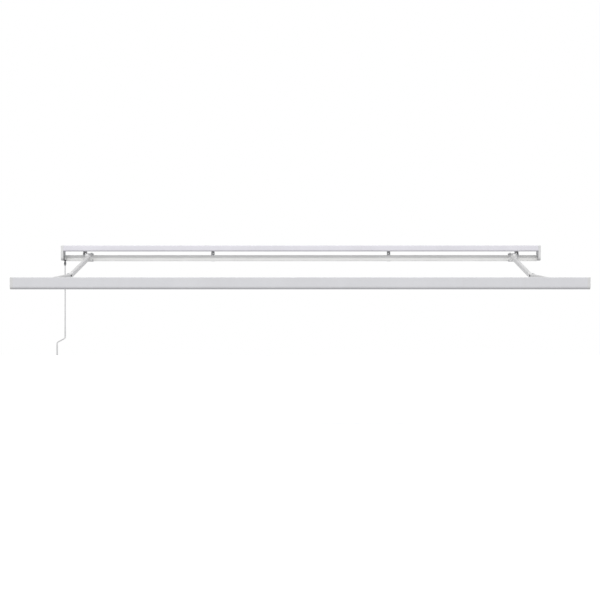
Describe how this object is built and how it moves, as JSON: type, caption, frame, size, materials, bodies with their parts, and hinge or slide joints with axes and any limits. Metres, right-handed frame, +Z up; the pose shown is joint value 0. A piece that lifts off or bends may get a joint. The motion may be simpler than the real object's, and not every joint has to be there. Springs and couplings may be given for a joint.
{
  "type": "folding-arm awning frame",
  "caption": "Wide wall-mounted folding-arm awning frame: torsion bar with hood and side covers, hinged arms carrying a front bar, and a worm gearbox turned by a hanging hand crank.",
  "frame": {"origin": "centre of the four wall bolts of the two inner brackets, on the wall plane", "axes": "+X along the awning, to the right seen from the front; +Y into the wall; +Z up; the arms reach towards -Y"},
  "size_m": [6.0726, 3.185, 1.3726],
  "materials": {
    "white_steel": "white powder coat on steel tube",
    "white_profile": "white powder coat on aluminium profile",
    "white_casting": "white powder coat on castings",
    "front_bar_casting": "white powder coat",
    "bracket_grey": "light grey powder coat on steel",
    "white_plastic": "moulded, fine satin",
    "roller_steel": "galvanised",
    "grey_plastic": "moulded",
    "wheel_brass": "cut",
    "black_eye": "black dip coat",
    "zinc_hook": "cast, grey",
    "crank_paint": "light powder coat",
    "grip_plastic": "moulded, fine ribs",
    "dark_plastic": "moulded",
    "dark_steel": "black oxide",
    "spring_steel": "oiled",
    "zinc_steel": "zinc plated"
  },
  "bodies": {
    "base": {"torsion_bar": "white_steel", "wall_brackets": "bracket_grey", "bracket_lock_bolts": "zinc_steel", "hood": "white_profile", "hood_screws": "zinc_steel", "side_cover_left": "white_plastic", "side_cover_right": "white_plastic", "end_plates": "bracket_grey", "side_cover_screws": "zinc_steel", "gearbox_housing": "grey_plastic", "gearbox_cover": "grey_plastic", "gearbox_screws": "zinc_steel", "roller_bearing": "grey_plastic", "shoulder_clamps": "white_casting", "shoulder_clamp_backs": "white_casting", "shoulder_clamp_bolts": "zinc_steel", "tilt_bolts": "zinc_steel"},
    "roller": {"roller_tube": "roller_steel", "roller_end_plugs": "grey_plastic", "worm_wheel": "wheel_brass"},
    "drive": {"worm_shaft": "zinc_steel", "drive_eye": "black_eye"},
    "crank": {"crank_hook": "zinc_hook", "crank_pin": "zinc_steel", "crank_rod": "crank_paint", "crank_end_cap": "dark_plastic"},
    "upper_grip": {"crank_upper_grip": "grip_plastic"},
    "lower_grip": {"crank_lower_grip": "grip_plastic"},
    "front": {"front_bar": "white_profile", "front_bar_end_caps": "white_plastic", "front_bar_brackets": "front_bar_casting", "bracket_slot_fasteners": "zinc_steel", "levelling_bolts": "zinc_steel"},
    "tilt_left": {"tilt_bracket_left": "white_casting", "shoulder_pin_left": "zinc_steel"},
    "upper_arm_left": {"upper_arm_knuckle_left": "white_casting", "upper_arm_tube_left": "white_profile", "upper_arm_fork_left": "white_casting", "elbow_pin_left": "zinc_steel", "arm_spring_left": "spring_steel"},
    "forearm_left": {"forearm_tongue_left": "white_casting", "elbow_anchor_bolt_left": "dark_steel", "forearm_tube_left": "white_profile", "forearm_knuckle_left": "white_casting"},
    "swivel_left": {"wrist_swivel_left": "white_casting", "wrist_pin_left": "zinc_steel"},
    "tilt_right": {"tilt_bracket_right": "white_casting", "shoulder_pin_right": "zinc_steel"},
    "upper_arm_right": {"upper_arm_knuckle_right": "white_casting", "upper_arm_tube_right": "white_profile", "upper_arm_fork_right": "white_casting", "elbow_pin_right": "zinc_steel", "arm_spring_right": "spring_steel"},
    "forearm_right": {"forearm_tongue_right": "white_casting", "elbow_anchor_bolt_right": "dark_steel", "forearm_tube_right": "white_profile", "forearm_knuckle_right": "white_casting"},
    "swivel_right": {"wrist_swivel_right": "white_casting", "wrist_pin_right": "zinc_steel"}
  },
  "joints": [
    {"name": "tilt_left", "type": "hinge", "parent": "base", "child": "tilt_left", "pos_m": [-2.655, -0.088, -0.1165], "axis": [1, 0, 0], "range_deg": [-6, 30]},
    {"name": "tilt_right", "type": "hinge", "parent": "base", "child": "tilt_right", "pos_m": [2.655, -0.088, -0.1165], "axis": [1, 0, 0], "range_deg": [-6, 30]},
    {"name": "fold", "type": "hinge", "parent": "tilt_left", "child": "upper_arm_left", "pos_m": [-2.676, -0.146, -0.0833], "axis": [0, -0.1149, 0.9934], "range_deg": [0, 87.5], "stiffness_Nm_per_rad": 20, "springref_deg": -34.38},
    {"name": "elbow_left", "type": "hinge", "parent": "upper_arm_left", "child": "forearm_left", "pos_m": [-2.668, -1.59349, -0.33635], "axis": [0, -0.1149, 0.9934], "range_deg": [-175, 0]},
    {"name": "wrist_left", "type": "hinge", "parent": "forearm_left", "child": "swivel_left", "pos_m": [-2.676, -3.06051, -0.42052], "axis": [0, -0.1149, 0.9934], "range_deg": [0, 87.5]},
    {"name": "level_left", "type": "hinge", "parent": "swivel_left", "child": "front", "pos_m": [-2.676, -3.10819, -0.42604], "axis": [1, 0, 0], "range_deg": [-30, 6]},
    {"name": "shoulder_right", "type": "hinge", "parent": "tilt_right", "child": "upper_arm_right", "pos_m": [2.676, -0.146, -0.0833], "axis": [0, -0.1149, 0.9934], "range_deg": [-87.5, 0]},
    {"name": "elbow_right", "type": "hinge", "parent": "upper_arm_right", "child": "forearm_right", "pos_m": [2.668, -1.59349, -0.33635], "axis": [0, -0.1149, 0.9934], "range_deg": [0, 175]},
    {"name": "wrist_right", "type": "hinge", "parent": "forearm_right", "child": "swivel_right", "pos_m": [2.676, -3.06051, -0.42052], "axis": [0, -0.1149, 0.9934], "range_deg": [-87.5, 0]},
    {"name": "worm_spin", "type": "hinge", "parent": "base", "child": "drive", "pos_m": [-2.956, -0.12675, -0.0925], "axis": [0, 0, 1], "continuous": true},
    {"name": "roller_spin", "type": "hinge", "parent": "base", "child": "roller", "pos_m": [0, -0.105, 0.028], "axis": [1, 0, 0], "continuous": true},
    {"name": "crank_swing", "type": "hinge", "parent": "drive", "child": "crank", "pos_m": [-2.956, -0.12675, -0.1505], "axis": [-1, 0, 0], "range_deg": [-5, 45]},
    {"name": "upper_grip_spin", "type": "hinge", "parent": "crank", "child": "upper_grip", "pos_m": [-2.956, -0.12675, -1.0125], "axis": [0, 0, 1], "continuous": true},
    {"name": "lower_grip_spin", "type": "hinge", "parent": "crank", "child": "lower_grip", "pos_m": [-3.057, -0.12675, -1.2325], "axis": [0, 0, 1], "continuous": true}
  ],
  "couplings": [
    {"joint": "tilt_right", "follows": "tilt_left", "ratio": 1},
    {"joint": "level_left", "follows": "tilt_left", "ratio": -1},
    {"joint": "elbow_left", "follows": "fold", "ratio": -2},
    {"joint": "wrist_left", "follows": "fold", "ratio": 1},
    {"joint": "shoulder_right", "follows": "fold", "ratio": -1},
    {"joint": "elbow_right", "follows": "fold", "ratio": 2},
    {"joint": "wrist_right", "follows": "fold", "ratio": -1},
    {"joint": "roller_spin", "follows": "worm_spin", "ratio": 0.090909}
  ]
}
